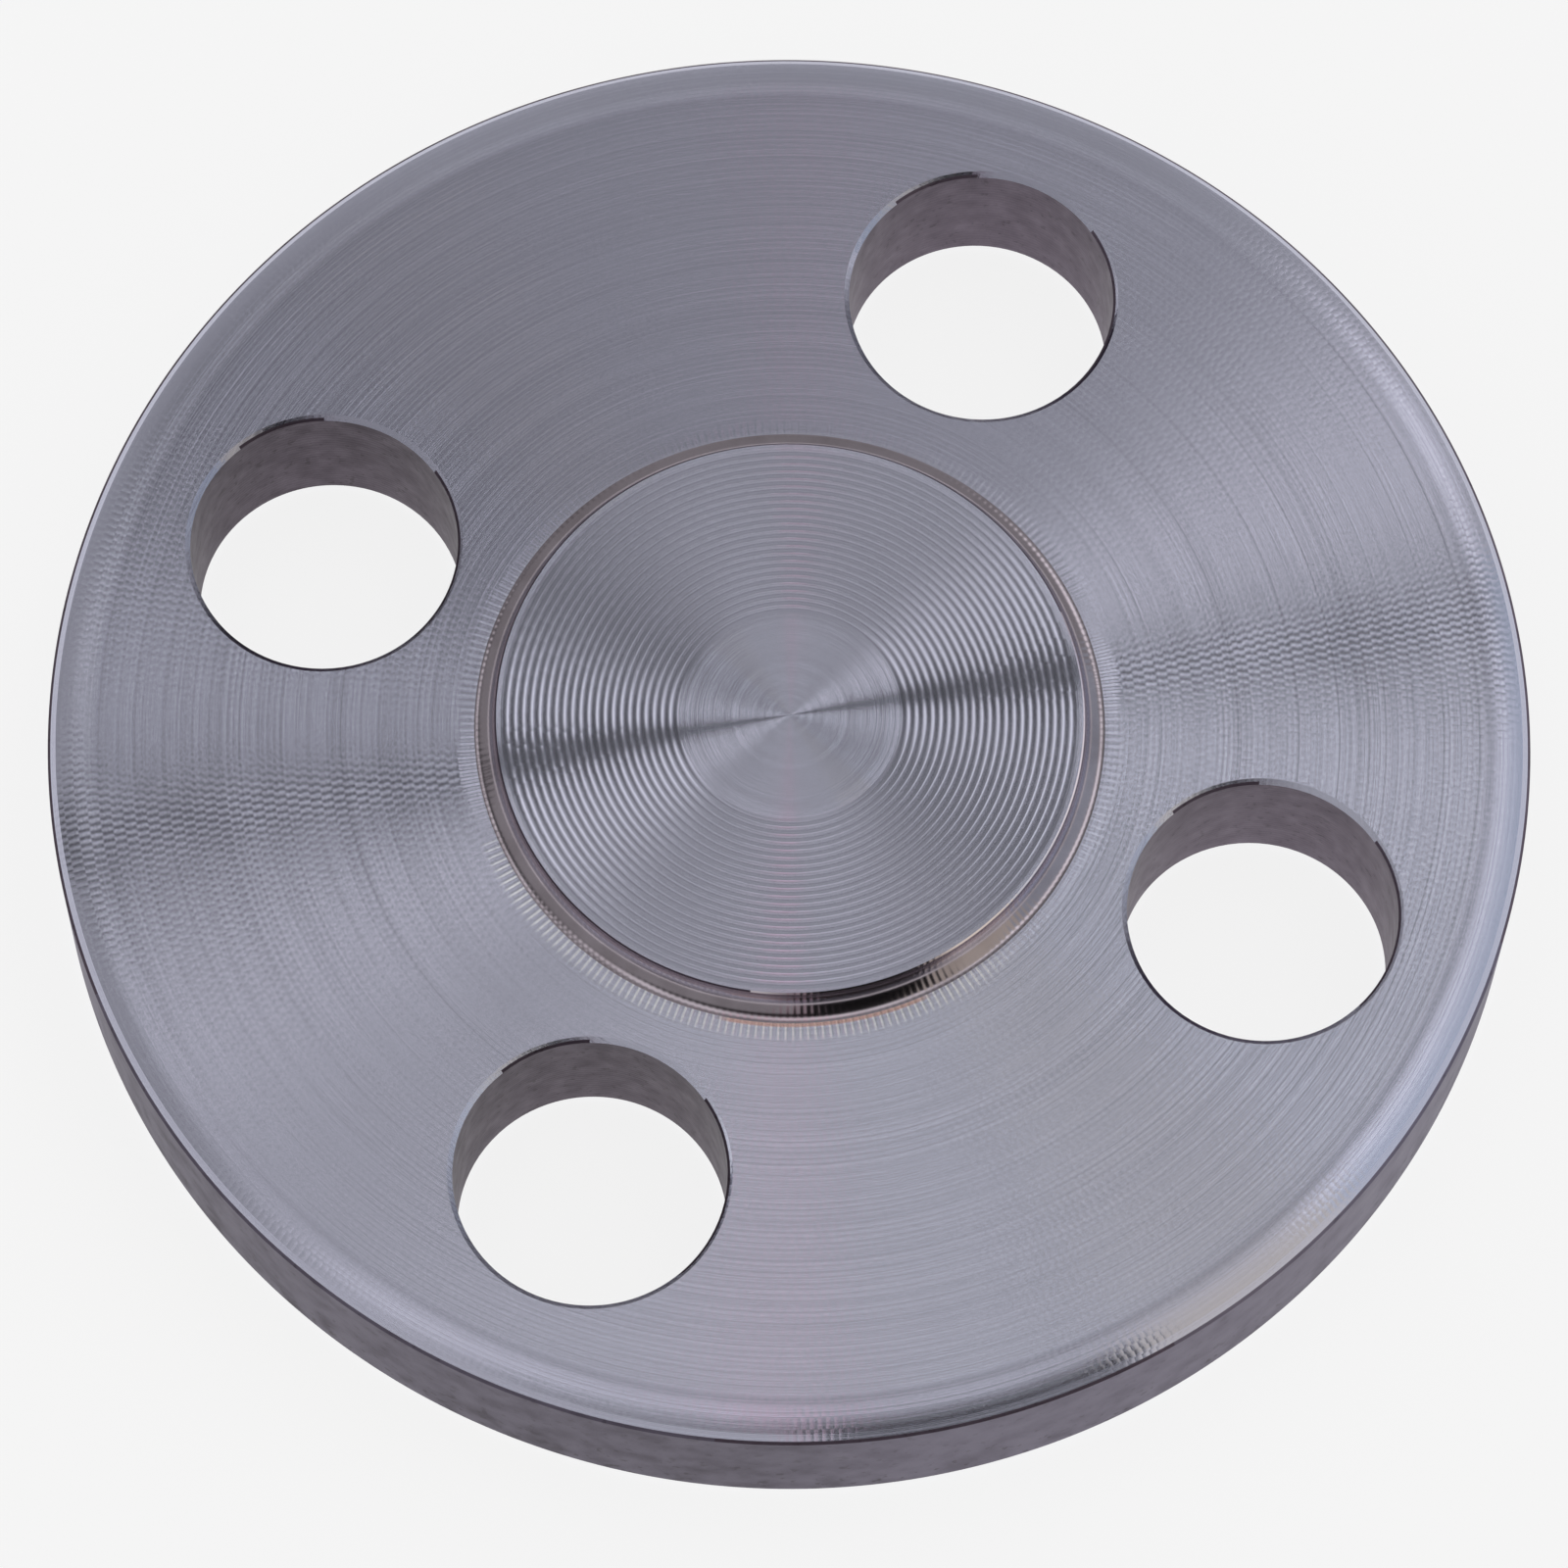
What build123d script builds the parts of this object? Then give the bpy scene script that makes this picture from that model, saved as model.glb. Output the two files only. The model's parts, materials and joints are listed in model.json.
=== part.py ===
from build123d import *
import os

# Raised-face blind flange for half-inch pipe, turned from one forged disc of stainless steel.
# Millimetres. It lies on its back face: the origin is that face's centre, and +Z leads to the gasket face.

# Disc
outside_d = 88.0
plate_t = 10.6
back_break = 0.4

# Rounded shoulder where the front face falls away to the rim
shoulder_w = 1.9
shoulder_fall = 0.4
rim_break = 0.5

# Raised gasket face, with a cove at its foot that leaves some upright side above it
raised_d = 34.9
raised_h = 1.6
cove_r = 1.25
least_raised_side = 0.1

# Shallow concentric gasket grooves between a smooth middle and a plain outer land
smooth_middle_d = 13.0
groove_pitch = 0.48
groove_depth = 0.02
plain_land_w = 0.35

# Bolt holes, straddling the centre lines
bolt_circle_d = 60.3
bolt_count = 4
first_bolt_angle = 45.0
bolt_hole_d = 16.0
bolt_hole_break = 0.3

# How far a cutter runs past the faces that it opens
cutter_overrun = 1.0

rim_r = outside_d / 2
raised_r = raised_d / 2
raised_top = plate_t + raised_h
foot_r = min(cove_r, raised_h - least_raised_side)
rim_top = plate_t - shoulder_fall - rim_break
shoulder_outer_r = rim_r - rim_break
shoulder_inner_r = shoulder_outer_r - shoulder_w
grooves_outer_r = raised_r - plain_land_w
groove_count = int((grooves_outer_r - smooth_middle_d / 2) / groove_pitch)


def groove_points():
    """The grooves in section, from the outer land inwards: a crest at each pitch, and a bottom midway between."""
    points = [(grooves_outer_r, raised_top)]
    for number in range(groove_count):
        outer_r = grooves_outer_r - number * groove_pitch
        points.append((outer_r - groove_pitch / 2, raised_top - groove_depth))
        points.append((outer_r - groove_pitch, raised_top))
    return points


def turned_blank():
    """The disc without its bolt holes: one closed section, turned about the Z axis."""
    with BuildPart() as blank:
        with BuildSketch(Plane.XZ):
            with BuildLine():
                Polyline(
                    (0, raised_top),
                    (0, 0),
                    (rim_r - back_break, 0),
                    (rim_r, back_break),
                    (rim_r, rim_top),
                    (shoulder_outer_r, rim_top + rim_break),
                )
                TangentArc(
                    (shoulder_inner_r, plate_t),
                    (shoulder_outer_r, rim_top + rim_break),
                    tangent=(1, 0),
                )
                Line((shoulder_inner_r, plate_t), (raised_r + foot_r, plate_t))
                RadiusArc((raised_r + foot_r, plate_t), (raised_r, plate_t + foot_r), foot_r)
                Polyline(
                    (raised_r, plate_t + foot_r),
                    (raised_r, raised_top),
                    *groove_points(),
                    (0, raised_top),
                )
            make_face()
        revolve(axis=Axis.Z)
    return blank.part


def bolt_hole_cutter():
    """A plain drill whose ends open out at 45 degrees, which breaks the hole's edge at both faces."""
    mouth_r = bolt_hole_d / 2 + bolt_hole_break + cutter_overrun
    with BuildPart() as cutter:
        with BuildSketch(Plane.XZ):
            with BuildLine():
                Polyline(
                    (0, -cutter_overrun),
                    (mouth_r, -cutter_overrun),
                    (bolt_hole_d / 2, bolt_hole_break),
                    (bolt_hole_d / 2, plate_t - bolt_hole_break),
                    (mouth_r, plate_t + cutter_overrun),
                    (0, plate_t + cutter_overrun),
                    close=True,
                )
            make_face()
        revolve(axis=Axis.Z)
    return cutter.part


def blind_flange():
    """The turned disc with its ring of bolt holes."""
    bolt_places = PolarLocations(bolt_circle_d / 2, bolt_count, start_angle=first_bolt_angle)
    return turned_blank() - bolt_places * bolt_hole_cutter()


os.makedirs("parts", exist_ok=True)
export_step(blind_flange(), "parts/blind_flange.step")
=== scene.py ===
import json
import bpy
import numpy as np
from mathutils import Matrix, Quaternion, Vector


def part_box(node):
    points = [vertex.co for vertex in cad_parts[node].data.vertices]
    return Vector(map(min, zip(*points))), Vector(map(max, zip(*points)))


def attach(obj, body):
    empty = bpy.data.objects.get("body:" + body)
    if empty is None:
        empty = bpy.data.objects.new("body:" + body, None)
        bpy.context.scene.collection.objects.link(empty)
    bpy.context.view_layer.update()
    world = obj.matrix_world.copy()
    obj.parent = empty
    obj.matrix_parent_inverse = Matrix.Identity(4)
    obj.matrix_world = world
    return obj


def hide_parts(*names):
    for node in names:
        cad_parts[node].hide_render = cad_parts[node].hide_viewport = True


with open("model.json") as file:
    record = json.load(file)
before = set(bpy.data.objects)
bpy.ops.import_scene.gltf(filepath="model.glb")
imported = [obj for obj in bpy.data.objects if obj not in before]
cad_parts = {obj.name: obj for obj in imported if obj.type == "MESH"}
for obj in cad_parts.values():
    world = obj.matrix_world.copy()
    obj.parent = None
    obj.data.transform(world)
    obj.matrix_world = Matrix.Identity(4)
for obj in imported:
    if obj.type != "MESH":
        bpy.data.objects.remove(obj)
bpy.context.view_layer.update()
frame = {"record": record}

# Blind flange: one disc of stainless steel, forged and then turned all over in a lathe, so that every face
# except the bolt holes is a section carried round the pipe axis. The raised gasket face is finished last,
# with shallow concentric grooves, and the four bolt holes are drilled and have their edges broken.
MM = 0.001
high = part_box("blind_flange")[1]
bolts = next(mount["dims"] for mount in frame["record"]["mounts"] if mount["name"] == "bolts")

rim_r = high.x
raised_top = high.z
raised_h = 1.6 * MM
plate_t = raised_top - raised_h
raised_r = 17.45 * MM
raised_edge = 0.09 * MM
cove_r = 1.25 * MM
foot_r = raised_r + cove_r

groove_pitch = 0.48 * MM
groove_depth = 0.02 * MM
groove_count = 22
grooves_outer_r = raised_r - 0.35 * MM
middle_r = grooves_outer_r - groove_count * groove_pitch

shoulder_w = 1.9 * MM
shoulder_fall = 0.4 * MM
rim_break = 0.5 * MM
back_break = 0.4 * MM
shoulder_outer_r = rim_r - rim_break
shoulder_inner_r = shoulder_outer_r - shoulder_w
shoulder_r = (shoulder_w**2 + shoulder_fall**2) / (2 * shoulder_fall)
rim_top = plate_t - shoulder_fall - rim_break

hole_r = bolts["hole_r_mm"] * MM
hole_break = 0.3 * MM
bolt_circle_r = bolts["pcd_mm"] * MM / 2
hole_count = bolts["count"]
first_hole = 45

# Round each hole the turned rings stop at a window, which a fan of rings from the hole's edge then fills
turn_steps = 360
window_half = 20
window_steps = 24
window_inner_r = bolt_circle_r - 9.55 * MM
window_outer_r = bolt_circle_r + 9.65 * MM
fan_steps = 5


def straight(start, end, steps):
    """Points in equal steps along the line from start to end, without the end."""
    return np.linspace(start, end, steps, endpoint=False)


def rounded(centre, radius, first_angle, last_angle, steps):
    """Points in equal turns along an arc: centre plus radius times (cosine, sine), without the arc's end."""
    angle = np.radians(np.linspace(first_angle, last_angle, steps, endpoint=False))
    return np.asarray(centre) + radius * np.stack([np.cos(angle), np.sin(angle)], axis=1)


def grooves(steps):
    """Round-bottomed grooves side by side: the depth in each is 4 u (1 - u) of the full depth, with u the
    place from crest to crest."""
    from_first = np.arange(groove_count * steps) / steps
    share = from_first % 1
    height = raised_top - groove_depth * 4 * share * (1 - share)
    return np.stack([middle_r + from_first * groove_pitch, height], axis=1)


centre_step = 0.8 * MM
to_window = [
    straight((centre_step, raised_top), (middle_r, raised_top), 6),
    grooves(6),
    straight((grooves_outer_r, raised_top), (raised_r - raised_edge, raised_top), 2),
    straight((raised_r - raised_edge, raised_top), (raised_r, raised_top - raised_edge), 1),
    straight((raised_r, raised_top - raised_edge), (raised_r, plate_t + cove_r), 2),
    rounded((foot_r, plate_t + cove_r), cove_r, 180, 270, 14),
    straight((foot_r, plate_t), (window_inner_r, plate_t), 4),
]
to_back_window = [
    straight((window_outer_r, plate_t), (shoulder_inner_r, plate_t), 3),
    rounded(
        (shoulder_inner_r, plate_t - shoulder_r),
        shoulder_r,
        90,
        90 - np.degrees(np.arcsin(shoulder_w / shoulder_r)),
        8,
    ),
    straight((shoulder_outer_r, rim_top + rim_break), (rim_r, rim_top), 3),
    straight((rim_r, rim_top), (rim_r, back_break), 6),
    straight((rim_r, back_break), (rim_r - back_break, 0), 1),
    straight((rim_r - back_break, 0), (window_outer_r, 0), 2),
]
section = np.vstack(
    to_window
    + [straight((window_inner_r, plate_t), (window_outer_r, plate_t), window_steps)]
    + to_back_window
    + [straight((window_outer_r, 0), (window_inner_r, 0), window_steps)]
    + [straight((window_inner_r, 0), (centre_step, 0), 8), [(centre_step, 0)]]
)
front_window = sum(len(run) for run in to_window)
back_window = front_window + window_steps + sum(len(run) for run in to_back_window)


def turned(points, steps):
    """A section carried round the Z axis: (r, z) at turn angle a becomes (r cos a, r sin a, z)."""
    angle = np.radians(np.arange(steps) * 360 / steps)
    r = points[:, 0, None]
    z = points[:, 1, None]
    return np.stack([r * np.cos(angle), r * np.sin(angle), z + 0 * angle], axis=-1)


def ring_faces(rings):
    """Four-cornered faces between rings of point numbers, each ring closed on itself."""
    onward = np.roll(rings, -1, axis=1)
    return np.stack([rings[:-1], rings[1:], onward[1:], onward[:-1]], axis=-1)


def window_border(numbers, first_row, inner_first, middle_column):
    """The point numbers round one window, anticlockwise seen from the front, starting on its outer side."""
    rows = np.arange(first_row, first_row + window_steps + 1)
    inward = rows[::-1] if inner_first else rows
    columns = np.arange(middle_column - window_half, middle_column + window_half + 1) % turn_steps
    return np.concatenate(
        [
            numbers[inward[0], columns[:-1]],
            numbers[inward[:-1], columns[-1]],
            numbers[inward[-1], columns[:0:-1]],
            numbers[inward[:0:-1], columns[0]],
        ]
    )


def hole_rings(border, centre):
    """A bolt hole as rings of points, from the front window through the hole to the back window. Each point
    of the border has its own spoke, along which it moves in equal steps to the hole's edge, down the wall and
    out."""
    spoke = border[:, :2] - centre
    spoke = spoke / np.linalg.norm(spoke, axis=1)[:, None]
    mouth_r = hole_r + hole_break
    front_mouth = np.column_stack([centre + spoke * mouth_r, np.full(len(border), plate_t)])
    back_mouth = front_mouth * (1, 1, 0)
    drop = [
        (hole_r + hole_break / 2, plate_t - hole_break / 2),
        (hole_r, plate_t - hole_break),
        *straight((hole_r, plate_t - hole_break), (hole_r, hole_break), 5)[1:],
        (hole_r, hole_break),
    ]
    share = np.arange(1, fan_steps + 1)[:, None, None] / fan_steps
    front_fan = border + (front_mouth - border) * share
    wall = [np.column_stack([centre + spoke * r, np.full(len(border), z)]) for r, z in drop]
    back_fan = (back_mouth + (border * (1, 1, 0) - back_mouth) * share)[:-1]
    return np.concatenate([front_fan, wall, back_mouth[None], back_fan])


def flange_mesh():
    """The turned rings outside the windows, a fan of triangles at each centre, and the four holes in the
    windows. Returns the points, the four-cornered faces and the three-cornered ones."""
    body = turned(section, turn_steps)
    rows = len(section)
    numbers = np.arange(rows * turn_steps).reshape(rows, turn_steps)
    faces = ring_faces(numbers)
    open_cells = np.zeros(faces.shape[:2], bool)
    points = [body.reshape(-1, 3), [(0, 0, raised_top), (0, 0, 0)]]
    taken = rows * turn_steps + 2
    hole_faces = []
    for hole in range(hole_count):
        column = first_hole + hole * turn_steps // hole_count
        for row in (front_window, back_window):
            open_cells[row : row + window_steps, column - window_half : column + window_half] = True
        front = window_border(numbers, front_window, True, column)
        back = window_border(numbers, back_window, False, column)
        turn = np.radians(column)
        centre = bolt_circle_r * np.array([np.cos(turn), np.sin(turn)])
        rings = hole_rings(points[0][front], centre)
        own = taken + np.arange(rings.shape[0] * rings.shape[1]).reshape(rings.shape[:2])
        taken += own.size
        points.append(rings.reshape(-1, 3))
        hole_faces.append(ring_faces(np.vstack([front, own, back]))[..., ::-1].reshape(-1, 4))
    front_point = np.full(turn_steps, rows * turn_steps)
    front_centre = np.column_stack([front_point, numbers[0], np.roll(numbers[0], -1)])
    back_centre = np.column_stack([front_point + 1, np.roll(numbers[-1], -1), numbers[-1]])
    quads = np.vstack([faces[~open_cells], *hole_faces])
    return np.vstack(points), quads, np.vstack([front_centre, back_centre])


def make_piece(name, points, quads, triangles):
    """A mesh from whole arrays: points that no face uses are left out, and the rest keep their order."""
    corners = np.concatenate([quads.ravel(), triangles.ravel()])
    used, renumbered = np.unique(corners, return_inverse=True)
    mesh = bpy.data.meshes.new(name)
    mesh.vertices.add(len(used))
    mesh.vertices.foreach_set("co", points[used].ravel())
    mesh.loops.add(len(corners))
    mesh.loops.foreach_set("vertex_index", renumbered.ravel().astype(np.int32))
    sides = np.concatenate([np.full(len(quads), 4), np.full(len(triangles), 3)])
    mesh.polygons.add(len(sides))
    mesh.polygons.foreach_set("loop_start", np.concatenate([[0], np.cumsum(sides)[:-1]]).astype(np.int32))
    mesh.update(calc_edges=True)
    mesh.validate()
    piece = bpy.data.objects.new(name, mesh)
    bpy.context.scene.collection.objects.link(piece)
    return piece


class Field:
    """A number that changes over a surface or over the sky. Sums, products and functions of it are Math
    nodes."""

    def __init__(self, tree, socket):
        self.tree = tree
        self.socket = socket

    def worked(self, operation, *others):
        """The result of one Math node, with this number first."""
        node = self.tree.nodes.new("ShaderNodeMath")
        node.operation = operation
        for place, value in zip(node.inputs, (self, *others)):
            if isinstance(value, Field):
                self.tree.links.new(value.socket, place)
            else:
                place.default_value = value
        return Field(self.tree, node.outputs[0])

    def __add__(self, other):
        return self.worked("ADD", other)

    def __sub__(self, other):
        return self.worked("SUBTRACT", other)

    def __mul__(self, other):
        return self.worked("MULTIPLY", other)

    def __truediv__(self, other):
        return self.worked("DIVIDE", other)

    __radd__ = __add__
    __rmul__ = __mul__

    def __rsub__(self, other):
        return self * -1 + other

    def step(self, start, end):
        """Runs smoothly from 0 at start to 1 at end."""
        node = self.tree.nodes.new("ShaderNodeMapRange")
        node.interpolation_type = "SMOOTHSTEP"
        self.tree.links.new(self.socket, node.inputs["Value"])
        node.inputs["From Min"].default_value = start
        node.inputs["From Max"].default_value = end
        return Field(self.tree, node.outputs[0])

    def between(self, start, end, soft):
        """1 between start and end, and 0 from soft beyond them."""
        return self.step(start - soft, start) * (1 - self.step(end, end + soft))


def across(tree, vector, operation, direction):
    """A vector combined with a fixed direction: multiplied, crossed or as a dot product."""
    node = tree.nodes.new("ShaderNodeVectorMath")
    node.operation = operation
    tree.links.new(vector, node.inputs[0])
    node.inputs[1].default_value = direction
    return node


def grain(tree, vector, cell, detail=2.0, stretch=(1, 1, 1)):
    """Cloudy variation from 0 to 1 with spots about one cell across, drawn out where stretch is over 1."""
    scaled = across(tree, vector, "MULTIPLY", [1 / (cell * s) for s in stretch])
    node = tree.nodes.new("ShaderNodeTexNoise")
    tree.links.new(scaled.outputs[0], node.inputs["Vector"])
    node.inputs["Scale"].default_value = 1.0
    node.inputs["Detail"].default_value = detail
    return Field(tree, node.outputs["Fac"])


def mixed(tree, share, first, second):
    """The first colour, going over to the second as share goes from 0 to 1."""
    node = tree.nodes.new("ShaderNodeMix")
    node.data_type = "RGBA"
    tree.links.new(share.socket, node.inputs[0])
    for place, colour in ((node.inputs[6], first), (node.inputs[7], second)):
        if isinstance(colour, tuple):
            place.default_value = (*colour, 1)
        else:
            tree.links.new(colour, place)
    return node.outputs[2]


TURN = 2 * np.pi
fine_ring_w = 0.012 * MM


class Steel:
    """A bare metal material, with the place, radius, turn and height of each point about the pipe axis."""

    def __init__(self, name):
        self.material = bpy.data.materials.new(name)
        self.material.use_nodes = True
        self.tree = self.material.node_tree
        self.shader = self.tree.nodes["Principled BSDF"]
        self.shader.inputs["Metallic"].default_value = 1.0
        self.place = self.tree.nodes.new("ShaderNodeTexCoord").outputs["Object"]
        split = self.tree.nodes.new("ShaderNodeSeparateXYZ")
        self.tree.links.new(self.place, split.inputs[0])
        x, y, self.height = (Field(self.tree, split.outputs[i]) for i in range(3))
        self.radius = (x * x + y * y).worked("SQRT")
        self.turn = y.worked("ARCTAN2", x) / TURN

    def grain(self, cell, detail=2.0, stretch=(1, 1, 1)):
        """Cloudy variation that stays with the metal."""
        return grain(self.tree, self.place, cell, detail, stretch)

    def rings(self, cell, detail=2.0):
        """Variation from ring to ring, the same all the way round."""
        node = self.tree.nodes.new("ShaderNodeCombineXYZ")
        self.tree.links.new(self.radius.socket, node.inputs[0])
        return grain(self.tree, node.outputs[0], cell, detail)

    def colour(self, share, first, second):
        """The base colour, going over from the first to the second as share goes from 0 to 1."""
        self.tree.links.new(mixed(self.tree, share, first, second), self.shader.inputs["Base Color"])

    def gloss(self, rough):
        """The roughness, which changes over the surface."""
        self.tree.links.new(rough.socket, self.shader.inputs["Roughness"])

    def lay_round_axis(self, share):
        """Tool marks run round the axis, so the light spreads across them: the marks' direction is the place
        crossed with the axis, and a quarter turn puts the wide side of the spread across it."""
        along = across(self.tree, self.place, "CROSS_PRODUCT", (0, 0, 1))
        self.tree.links.new(along.outputs[0], self.shader.inputs["Tangent"])
        self.shader.inputs["Anisotropic"].default_value = share
        self.shader.inputs["Anisotropic Rotation"].default_value = 0.25

    def fine_rings(self, tilt):
        """Rings too fine to see one by one: the surface leans in and out across them by up to about the tilt.
        The leaning normal is the plain one plus the lean times the direction away from the axis."""
        lean = (self.rings(fine_ring_w, 0) - 0.5) * tilt / self.radius
        outward = across(self.tree, self.place, "MULTIPLY", (1, 1, 0))
        leaning = self.tree.nodes.new("ShaderNodeVectorMath")
        leaning.operation = "SCALE"
        self.tree.links.new(outward.outputs[0], leaning.inputs[0])
        self.tree.links.new(lean.socket, leaning.inputs["Scale"])
        upright = self.tree.nodes.new("ShaderNodeNewGeometry").outputs["Normal"]
        turned_lean = self.tree.nodes.new("ShaderNodeVectorTransform")
        turned_lean.vector_type = "VECTOR"
        turned_lean.convert_from = "OBJECT"
        turned_lean.convert_to = "WORLD"
        self.tree.links.new(leaning.outputs[0], turned_lean.inputs[0])
        added = self.tree.nodes.new("ShaderNodeVectorMath")
        added.operation = "ADD"
        self.tree.links.new(upright, added.inputs[0])
        self.tree.links.new(turned_lean.outputs[0], added.inputs[1])
        unit = self.tree.nodes.new("ShaderNodeVectorMath")
        unit.operation = "NORMALIZE"
        self.tree.links.new(added.outputs[0], unit.inputs[0])
        return unit.outputs[0]

    def raise_marks(self, height, normal=None):
        """Tool marks too fine for the mesh, from their height in metres."""
        bump = self.tree.nodes.new("ShaderNodeBump")
        bump.inputs["Distance"].default_value = 1.0
        self.tree.links.new(height.socket, bump.inputs["Height"])
        if normal:
            self.tree.links.new(normal, bump.inputs["Normal"])
        self.tree.links.new(bump.outputs[0], self.shader.inputs["Normal"])


turned_colour = (0.57, 0.575, 0.70)
dulled_colour = (0.50, 0.495, 0.60)
# Painted shade and a painted highlight: the plain front is painted darker round one side and paler round the
# opposite side
shaded_side_turn = 0.27
painted_shade_colour = (0.43, 0.43, 0.53)
painted_highlight_colour = (0.66, 0.67, 0.80)

patch_w = 6 * MM
cloud_w = 14 * MM
dull_ring_w = 0.5 * MM
front_lay = 1.0
front_gloss = 0.165
gloss_spread = 0.03
fine_ring_tilt = 1.25
edge_fade = 0.3 * MM
shoulder_fade = 0.6 * MM
feed = 0.344 * MM
feed_lean = 0.016
long_flank = 0.75
chatter_gain_per_turn = 4.501
chatter_height = 0.0027 * MM
foot_ticks = 277
foot_tick_height = 0.0035 * MM
foot_tick_full = 0.6 * MM
foot_tick_reach = 1.3 * MM
foot_tick_start = 0.2 * MM
# Sector of turns where the foot's tick crests carry a painted highlight
tick_glint_turns = (-0.47, -0.23)
# A painted orange-pink glint: a thin ring just outside the cove's foot, over a sector of turns
glint_line_turns = (-0.340, -0.248)
glint_line_w = 0.15 * MM
glint_line_share = 0.8
# Near white of the painted highlight on the foot's tick crests
tick_glint_colour = (0.95, 0.96, 1.0)
glint_line_colour = (0.78, 0.50, 0.42)


def chatter(steel, number):
    """Scallops along the tool's path at an even pitch, from 0 to 1 high. Each turn holds the same few more of
    them than the turn before, so the count up to a point is half that gain times the square of the turns made
    so far, and the height is 4 u (1 - u) with u the place across a scallop."""
    made = number + steel.turn
    share = (made * made * (chatter_gain_per_turn / 2)).worked("FRACT")
    return share * (1 - share) * 4


def front_steel():
    """The plain parts of the front. Turn number n and place u across each feed mark come from r / feed less
    the share of a turn. A mark falls away outwards over its long flank and climbs back over the short one.
    Its colour also holds painted shade on one side, a painted highlight on the other, painted glints on the
    foot's ticks and a painted glint line at the foot."""
    steel = Steel("turned_front_steel")
    turns = steel.radius / feed - steel.turn
    number = turns.worked("FLOOR")
    share = turns - number
    ridge = (1 - share / long_flank).worked("MAXIMUM", (share - long_flank) / (1 - long_flank))
    ripple = chatter(steel, number)
    annulus = steel.radius.step(foot_r, foot_r + edge_fade)
    fed = annulus * (1 - steel.radius.step(shoulder_inner_r - shoulder_fade, shoulder_inner_r))
    patchy = steel.grain(patch_w, 3)
    at_foot = 1 - steel.radius.step(foot_r + foot_tick_full, foot_r + foot_tick_reach)
    at_foot = at_foot * steel.radius.step(raised_r, raised_r + foot_tick_start)
    tick = (steel.turn * (TURN * foot_ticks)).worked("COSINE")
    ticks = tick * at_foot * foot_tick_height
    wave = ripple * chatter_height * (0.3 + patchy * 1.4)
    marks = ridge * (feed * long_flank * feed_lean) * fed + wave * annulus * (1 - at_foot) + ticks
    steel.raise_marks(marks, steel.fine_rings(fine_ring_tilt))
    steel.lay_round_axis(front_lay)
    steel.gloss(front_gloss + (patchy - 0.5) * gloss_spread)
    cloudy = steel.grain(cloud_w, 4)
    dull = ((cloudy - 0.5) * 0.9 + (steel.rings(dull_ring_w) - 0.5) * 0.4 + 0.3).worked("MAXIMUM", 0)
    base = mixed(steel.tree, dull, turned_colour, dulled_colour)
    # Painted shade and a painted highlight: darker towards one side of the plain front, paler towards the
    # opposite side
    shade_and_highlight = ((steel.turn - shaded_side_turn) * TURN).worked("COSINE") * fed
    base = mixed(steel.tree, shade_and_highlight.worked("MAXIMUM", 0), base, painted_shade_colour)
    base = mixed(steel.tree, (shade_and_highlight * -1).worked("MAXIMUM", 0), base, painted_highlight_colour)
    # Painted highlight: in a sector of turns the crests of the foot's ticks are painted near white
    tick_glint = tick.step(0.1, 0.9) * at_foot * steel.turn.between(*tick_glint_turns, 0.05)
    tick_glint = tick_glint * (0.5 + patchy * 0.5)
    base = mixed(steel.tree, tick_glint, base, tick_glint_colour)
    # Painted glint: a thin orange-pink ring just outside the cove's foot over a sector of turns
    glint_line = steel.turn.between(*glint_line_turns, 0.01)
    glint_line = glint_line * steel.radius.between(foot_r, foot_r + glint_line_w, glint_line_w)
    steel.colour(glint_line * glint_line_share, base, glint_line_colour)
    return steel.material


groove_patch_w = 3 * MM
groove_lay = 0.96
groove_gloss = 0.13


def groove_steel():
    """The gasket grooves: cut by a fine round-nosed tool, so smoother than the rest, with a trace of
    chatter."""
    steel = Steel("grooved_face_steel")
    number = ((steel.radius - middle_r) / groove_pitch).worked("FLOOR")
    ripple = chatter(steel, number)
    patchy = steel.grain(groove_patch_w, 3)
    steel.raise_marks(ripple * chatter_height * patchy)
    steel.lay_round_axis(groove_lay)
    steel.gloss(groove_gloss + (patchy - 0.5) * gloss_spread)
    dull = ((steel.grain(cloud_w, 4) - 0.5) * 0.9 + 0.3).worked("MAXIMUM", 0)
    steel.colour(dull, turned_colour, dulled_colour)
    return steel.material


cove_colour = (0.39, 0.345, 0.385)
cove_stain = (0.31, 0.27, 0.30)
# Pale painted highlight up the steep part of the cove, left out over the sector of turns below, where the
# camera's dark stand is mirrored
cove_highlight_colour = (0.80, 0.72, 0.78)
cove_stand_mirror_turns = (-0.31, -0.235)
cove_patch_w = 2.5 * MM
cove_lay = 0.6
cove_gloss = 0.14


def cove_steel():
    """The cove and the upright side above it, as a form tool leaves them: brownish, with even ticks all the
    way round. Up the steep part a paler colour is a painted highlight, left out in the sector where the
    camera's dark stand is mirrored."""
    steel = Steel("form_cut_cove_steel")
    ticks = (steel.turn * (TURN * foot_ticks)).worked("COSINE")
    patchy = steel.grain(cove_patch_w, 3)
    steel.raise_marks(ticks * foot_tick_height * 0.5 * (0.5 + patchy))
    steel.lay_round_axis(cove_lay)
    steel.gloss(cove_gloss + patchy * 0.04)
    base = mixed(steel.tree, patchy.step(0.35, 0.8), cove_colour, cove_stain)
    # Painted highlight: the steep part is painted pale, except in the sector where the camera's dark stand is
    # mirrored
    steep_highlight = steel.height.step(plate_t + 0.3 * cove_r, plate_t + 0.8 * cove_r)
    steep_highlight = steep_highlight * (1 - steel.turn.between(*cove_stand_mirror_turns, 0.02))
    steel.colour(steep_highlight, base, cove_highlight_colour)
    return steel.material


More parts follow.
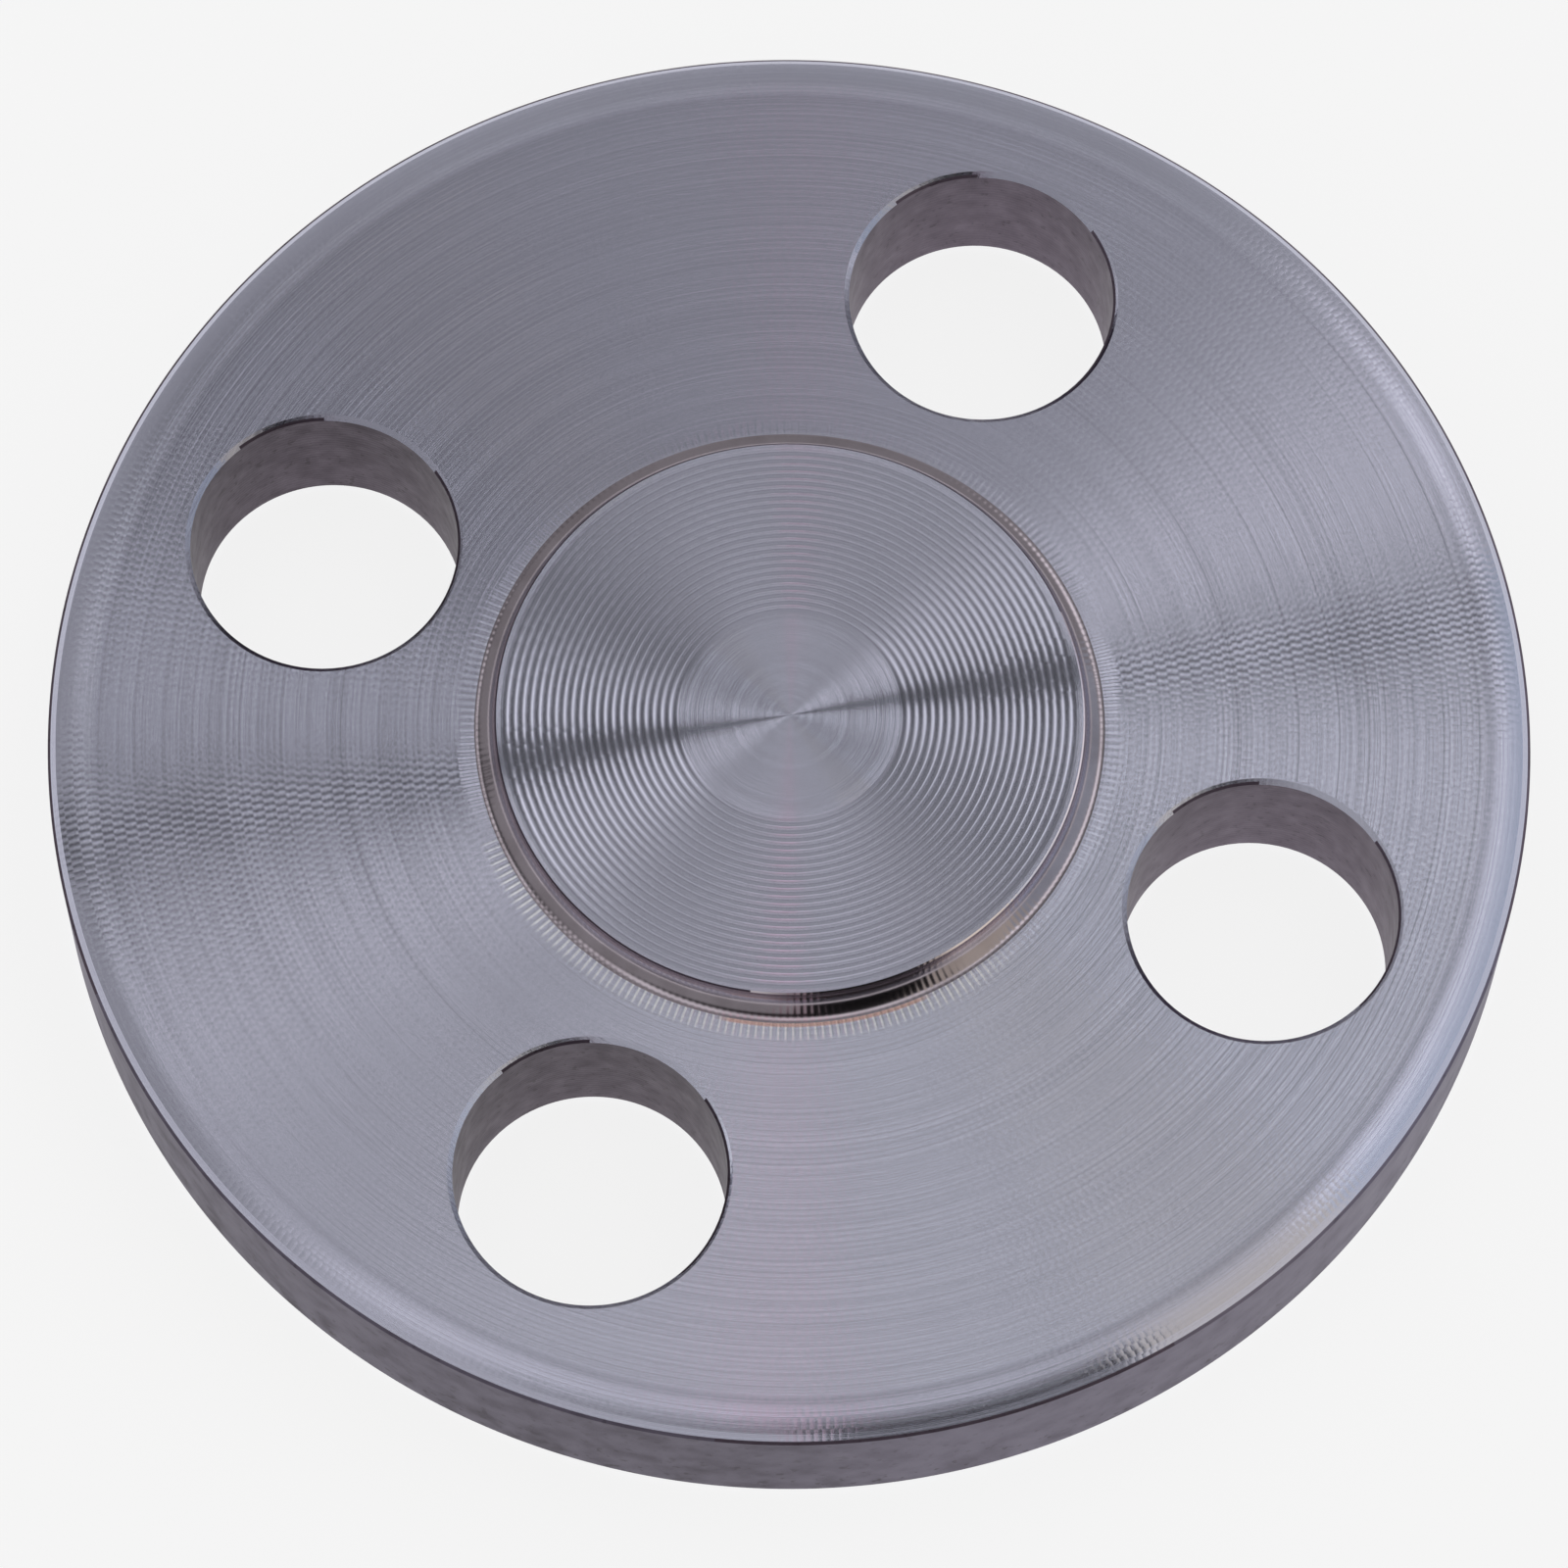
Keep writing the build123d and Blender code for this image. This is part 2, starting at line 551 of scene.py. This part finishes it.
rim_colour = (0.178, 0.158, 0.212)
rim_dark_colour = (0.072, 0.06, 0.080)
rim_cloud_w = 2.0 * MM
rim_spot_w = 0.7 * MM
darker_rim_turns = (-0.47, -0.33)
rim_gloss = 0.36
rim_lay = 0.7
rim_feed = 0.25 * MM
rim_feed_height = 0.0012 * MM
rim_pit_height = 0.01 * MM


def rim_steel():
    """The rim: turned and a little tarnished, with dark stains that thicken towards the back, and darker over
    one sector of turns.
    """
    steel = Steel("turned_rim_steel")
    cloud = steel.grain(rim_cloud_w, 4)
    spots = steel.grain(rim_spot_w, 3)
    lower = 1 - steel.height.step(0.5 * MM, 6 * MM)
    # Over one sector of turns the rim is darker
    in_darker_turns = steel.turn.between(*darker_rim_turns, 0.06)
    darkening = cloud.step(0.35, 0.80) * (0.20 + lower * 0.30 + in_darker_turns * 0.15) + in_darker_turns * 0.40
    darkening = (darkening + spots.step(0.60, 0.68) * (lower * 0.4 + 0.3)).worked("MINIMUM", 1)
    steel.colour(darkening, rim_colour, rim_dark_colour)
    steel.gloss(rim_gloss + cloud * 0.15)
    steel.lay_round_axis(rim_lay)
    feed_lines = (steel.height * (TURN / rim_feed)).worked("SINE") * rim_feed_height
    steel.raise_marks(feed_lines + spots * rim_pit_height)
    return steel.material


hole_colour = (0.175, 0.140, 0.185)
hole_dark_colour = (0.064, 0.048, 0.064)
hole_cloud_w = 1.3 * MM
hole_spot_w = 0.5 * MM
pale_hole_turns = (-0.20, 0.20)
hole_gloss = 0.42
drill_feed = 0.35 * MM
drill_ring_height = 0.002 * MM
hole_pit_height = 0.02 * MM


def hole_steel():
    """The drilled walls: rough, purplish and mottled, with fine rings left by the drill's lips, and lighter
    in the holes within one sector of turns than in the others.
    """
    steel = Steel("drilled_hole_steel")
    cloud = steel.grain(hole_cloud_w, 5)
    spots = steel.grain(hole_spot_w, 3)
    # The walls of the holes within one sector of turns are lighter than the others
    dark_side = 0.7 - steel.turn.between(*pale_hole_turns, 0.05) * 0.45
    darkening = dark_side + (cloud - 0.5) * 0.5 + spots.step(0.60, 0.70) * 0.35
    darkening = darkening.worked("MAXIMUM", 0).worked("MINIMUM", 1)
    steel.colour(darkening, hole_colour, hole_dark_colour)
    steel.gloss(hole_gloss + cloud * 0.2)
    drill_rings = (steel.height * (TURN / drill_feed) + cloud * 6).worked("SINE") * drill_ring_height
    steel.raise_marks(drill_rings + spots * hole_pit_height)
    return steel.material


back_feed = 0.4 * MM
back_feed_height = 0.003 * MM
back_lay = 0.95
back_cloud_w = 12 * MM
back_gloss = 0.32


def back_steel():
    """The back, faced more coarsely than the front and left without grooves."""
    steel = Steel("faced_back_steel")
    turns = steel.radius / back_feed - steel.turn
    steel.raise_marks((turns * TURN).worked("COSINE") * back_feed_height)
    steel.lay_round_axis(back_lay)
    cloud = steel.grain(back_cloud_w, 4)
    steel.gloss(back_gloss + cloud * 0.06)
    steel.colour(cloud.step(0.35, 0.8) * 0.7, turned_colour, dulled_colour)
    return steel.material


points, quads, triangles = flange_mesh()
flange = make_piece("turned_flange", points, quads, triangles)
FRONT, RIM, HOLE, BACK, GROOVES, COVE = range(6)
for finish in (front_steel(), rim_steel(), hole_steel(), back_steel(), groove_steel(), cove_steel()):
    flange.data.materials.append(finish)

# Each face takes its finish from where it lies: in a hole, on the rim, on the back, in the grooves, in the
# cove, or else on the plain front
middle = np.vstack([points[faces].mean(axis=1) for faces in (quads, triangles)])
from_axis = np.hypot(middle[:, 0], middle[:, 1])
hole_turns = np.radians(first_hole + np.arange(hole_count) * 360 / hole_count)
hole_centres = bolt_circle_r * np.stack([np.cos(hole_turns), np.sin(hole_turns)], axis=1)
from_hole = np.linalg.norm(middle[:, None, :2] - hole_centres, axis=2).min(axis=1)
inset = 0.01 * MM
in_hole = from_hole < hole_r + inset
on_rim = from_axis > rim_r - inset
on_back = (middle[:, 2] < back_break) & ~in_hole & ~on_rim
in_grooves = (from_axis > middle_r) & (from_axis < grooves_outer_r) & ~on_back
in_cove = (from_axis > raised_r - raised_edge) & (from_axis < foot_r) & ~on_back

# Painted dark reflections on some broken edges: parts of the holes' mouths, of the raised face's edge, and
# of the rim's bevel on its far side and nearest part take the dark drilled-hole finish in the sectors where
# they would mirror dark surroundings. Angles are degrees anticlockwise from the camera's right, where X is
# at viewer_turn.
viewer_turn = 20.3
mouth_painted_dark_sectors = ((-50, 32), (88, 128))
edge_painted_dark_sectors = ((20, 260),)
bevel_painted_dark_sectors = ((-20, 200), (-98, -62))
from_right = np.degrees(np.arctan2(middle[:, 1], middle[:, 0])) + viewer_turn
nearest_hole = hole_centres[np.linalg.norm(middle[:, None, :2] - hole_centres, axis=2).argmin(axis=1)]
round_hole = np.degrees(np.arctan2(*(middle[:, :2] - nearest_hole).T[::-1])) + viewer_turn


def in_sectors(angle, sectors):
    """True where an angle in degrees lies in any sector, which runs anticlockwise from its start to its
    end."""
    return np.any([(angle - start) % 360 < (end - start) % 360 for start, end in sectors], axis=0)


on_mouth = (from_hole < hole_r + hole_break / 2) & (middle[:, 2] > plate_t - hole_break)
painted_dark_mouth = on_mouth & in_sectors(round_hole, mouth_painted_dark_sectors)
on_edge = (from_axis > raised_r - raised_edge) & (from_axis < raised_r)
on_edge &= middle[:, 2] > raised_top - raised_edge
painted_dark_edge = on_edge & in_sectors(from_right, edge_painted_dark_sectors)
on_bevel = (from_axis > rim_r - rim_break / 3) & (middle[:, 2] > rim_top)
painted_dark_bevel = on_bevel & in_sectors(from_right, bevel_painted_dark_sectors)
dark = painted_dark_mouth | painted_dark_edge | painted_dark_bevel
on_rim |= on_bevel
# Faces in the holes, and the edge faces that carry painted dark reflections, take the drilled-hole finish
finishes = np.select(
    [in_hole | dark, on_rim, on_back, in_grooves, in_cove],
    [HOLE, RIM, BACK, GROOVES, COVE],
    FRONT,
)
flange.data.polygons.foreach_set("material_index", finishes.astype(np.int32))
flange.data.polygons.foreach_set("use_smooth", np.ones(len(finishes), bool))
crease_angle = np.radians(12)
flange.data.set_sharp_from_angle(angle=crease_angle)
flange.data.update()

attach(flange, "root")
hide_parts("blind_flange")

# Floor: a wide pale sheet that the flange lies on, and that curves up into a low wall far away, so that it is
# also what stands behind the flange when it is seen from the side. It is matt, and an even white is mixed in
# wherever the camera or a reflection sees it.
floor_turn_steps = 96
floor_hub_r = 0.05
floor_r = 2.5
floor_bend = 0.4
floor_gap = 0.02 * MM
floor_colour = 0.90
floor_glow_share = 0.85


def floor_finish():
    """A matt white that shows the flange's shadow, mixed with an even white where it is seen or mirrored."""
    material = bpy.data.materials.new("pale_floor")
    material.use_nodes = True
    tree = material.node_tree
    tree.nodes.clear()
    matt = tree.nodes.new("ShaderNodeBsdfDiffuse")
    matt.inputs["Color"].default_value = (floor_colour, floor_colour, floor_colour, 1)
    glow = tree.nodes.new("ShaderNodeEmission")
    ray = tree.nodes.new("ShaderNodeLightPath")
    camera_ray, glossy_ray, transmission_ray = (
        Field(tree, ray.outputs[kind]) for kind in ("Is Camera Ray", "Is Glossy Ray", "Is Transmission Ray")
    )
    share = camera_ray.worked("MAXIMUM", glossy_ray).worked("MAXIMUM", transmission_ray) * floor_glow_share
    mix = tree.nodes.new("ShaderNodeMixShader")
    tree.links.new(share.socket, mix.inputs[0])
    tree.links.new(matt.outputs[0], mix.inputs[1])
    tree.links.new(glow.outputs[0], mix.inputs[2])
    end = tree.nodes.new("ShaderNodeOutputMaterial")
    tree.links.new(mix.outputs[0], end.inputs[0])
    return material


floor_section = np.vstack(
    [
        straight((floor_hub_r, -floor_gap), (floor_r, -floor_gap), 12),
        rounded((floor_r, floor_bend - floor_gap), floor_bend, 270, 360, 12),
        [(floor_r + floor_bend, floor_bend)],
    ]
)
floor_rings = turned(floor_section[::-1], floor_turn_steps)
floor_numbers = np.arange(len(floor_section) * floor_turn_steps).reshape(-1, floor_turn_steps)
floor_middle = np.full(floor_turn_steps, floor_numbers.size)
floor_centre = np.column_stack([floor_numbers[-1], np.roll(floor_numbers[-1], -1), floor_middle])
floor_quads = ring_faces(floor_numbers)[..., ::-1].reshape(-1, 4)
floor_points = np.vstack([floor_rings.reshape(-1, 3), [(0, 0, -floor_gap)]])
floor = make_piece("floor", floor_points, floor_quads, floor_centre)
floor.data.polygons.foreach_set("use_smooth", np.ones(len(floor.data.polygons), bool))
floor.data.materials.append(floor_finish())

# Studio light: a room whose walls begin well off the zenith, with five soft lights over the flange: a wide
# one towards the camera, a tall one on each side, and two low strips before and beyond the place that the
# front face mirrors. A dark bar crosses that place. Out from it the camera's stand is a dark sector, with a
# warm panel and a pale blue window to its right. Places are parts of a direction seen from above, sideways
# right and onward.
studio_turn = np.radians(viewer_turn)
sideways_axis = (np.cos(studio_turn), -np.sin(studio_turn), 0)
onward_axis = (np.sin(studio_turn), np.cos(studio_turn), 0)
near_wall_level = 0.45
near_wall_start = (0.45, 0.62)
far_wall_level = 0.40
far_wall_start = (0.52, 0.68)
far_side = (0.15, 0.45)
soft_lights = {
    "near": {"at": (-0.03, -0.070), "half": (0.400, 0.142), "turn": 6.8, "soft": 0.136, "level": 1.35},
    "right": {"at": (0.362, 0.234), "half": (0.100, 0.357), "turn": -1.4, "soft": 0.063, "level": 1.825},
    "left": {"at": (-0.251, 0.294), "half": (0.084, 0.144), "turn": 5.2, "soft": 0.068, "level": 1.579},
    "before": {"at": (-0.007, 0.278), "half": (0.117, 0.062), "turn": 2.9, "soft": 0.073, "level": 0.85},
    "beyond": {"at": (0.165, 0.465), "half": (0.332, 0.057), "turn": -9.9, "soft": 0.152, "level": 0.74},
}
mirror_onward = 0.354
bar_turn = np.radians(7.6)
bar_half = 0.017
bar_soft = 0.005
bar_level = 0.18
stand = {"from": -88.5, "to": -63, "level": 0.01, "start": 0.52, "colour": (1.0, 1.0, 1.0)}
warm_panel = {"from": -63, "to": -43, "level": 0.72, "start": 0.42, "colour": (1.0, 0.94, 0.80)}
window = {"from": -43, "to": 12, "level": 0.60, "start": 0.52, "colour": (0.86, 0.96, 1.05)}
panel_soft = 2.5
panel_start_soft = 0.06
pink_half = 0.016
pink_end = (0.1, 0.3)
pink_colour = (1.22, 0.93, 1.0)


def from_line(sideways, onward, turn):
    """How far a direction lies to the left of a line through the zenith that is turned by an angle."""
    return sideways * -np.sin(turn) + onward * np.cos(turn)


def studio_light():
    """Brightness by direction: the walls, over them the five lights less the bar, then the stand and the
    panels, which are sectors seen from the mirrored place. A narrow strip of the near light is tinted
    pink."""
    world = bpy.data.worlds.new("studio")
    bpy.context.scene.world = world
    world.use_nodes = True
    tree = world.node_tree
    direction = tree.nodes.new("ShaderNodeTexCoord").outputs["Generated"]
    sideways = Field(tree, across(tree, direction, "DOT_PRODUCT", sideways_axis).outputs["Value"])
    onward = Field(tree, across(tree, direction, "DOT_PRODUCT", onward_axis).outputs["Value"])
    from_zenith = (sideways * sideways + onward * onward).worked("SQRT")
    far_share = onward.step(*far_side)
    level = from_zenith.step(*near_wall_start) * near_wall_level * (1 - far_share)
    level = level + from_zenith.step(*far_wall_start) * far_wall_level * far_share
    for light in soft_lights.values():
        turn = np.radians(light["turn"])
        from_middle = (sideways - light["at"][0], onward - light["at"][1])
        covered = 1
        for line_turn, half in zip((turn - TURN / 4, turn), light["half"]):
            off = from_line(*from_middle, line_turn).worked("ABSOLUTE")
            covered = covered * (1 - off.step(half - light["soft"], half + light["soft"]))
        level = level.worked("MAXIMUM", level * (1 - covered) + covered * light["level"])
    off_bar = from_line(sideways, onward - mirror_onward, bar_turn).worked("ABSOLUTE")
    level = level * (off_bar.step(bar_half, bar_half + bar_soft) * (1 - bar_level) + bar_level)
    pink = (1 - sideways.worked("ABSOLUTE").step(pink_half, pink_half * 2)) * (1 - onward.step(*pink_end))
    colour = mixed(tree, pink, (1.0, 1.0, 1.0), pink_colour)
    bearing = (onward - mirror_onward).worked("ARCTAN2", sideways) * (360 / TURN)
    from_mirror = (sideways * sideways + (onward - mirror_onward) * (onward - mirror_onward)).worked("SQRT")
    for panel in (stand, warm_panel, window):
        inside = bearing.step(panel["from"] - panel_soft / 2, panel["from"] + panel_soft / 2)
        inside = inside * (1 - bearing.step(panel["to"] - panel_soft / 2, panel["to"] + panel_soft / 2))
        inside = inside * from_mirror.step(panel["start"], panel["start"] + panel_start_soft)
        level = level * (1 - inside) + inside * panel["level"]
        colour = mixed(tree, inside, colour, panel["colour"])
    background = tree.nodes["Background"]
    tree.links.new(colour, background.inputs["Color"])
    tree.links.new(level.socket, background.inputs["Strength"])


studio_light()

# Camera: a long lens about half a metre away, looking down a little off the pipe axis, as the photograph
# does.
camera_azimuth = np.radians(-113.562)
camera_elevation = np.radians(69.424)
camera_distance = 473.587 * MM
camera_roll = np.radians(1.278)
camera_aim = Vector((-1.738 * MM, -3.340 * MM, plate_t))
lens = bpy.data.cameras.new("camera")
film_w_mm = 36
lens_length_mm = 183.95
nearest_seen = 0.01
lens.sensor_width = film_w_mm
lens.lens = lens_length_mm
lens.clip_start = nearest_seen
camera = bpy.data.objects.new("camera", lens)
bpy.context.scene.collection.objects.link(camera)
to_camera = Vector(
    (
        np.cos(camera_elevation) * np.cos(camera_azimuth),
        np.cos(camera_elevation) * np.sin(camera_azimuth),
        np.sin(camera_elevation),
    )
)
camera.location = camera_aim + to_camera * camera_distance
camera.rotation_mode = "QUATERNION"
camera.rotation_quaternion = (-to_camera).to_track_quat("-Z", "Y") @ Quaternion((0, 0, 1), camera_roll)
bpy.context.scene.camera = camera
bpy.context.scene.view_settings.view_transform = "Standard"
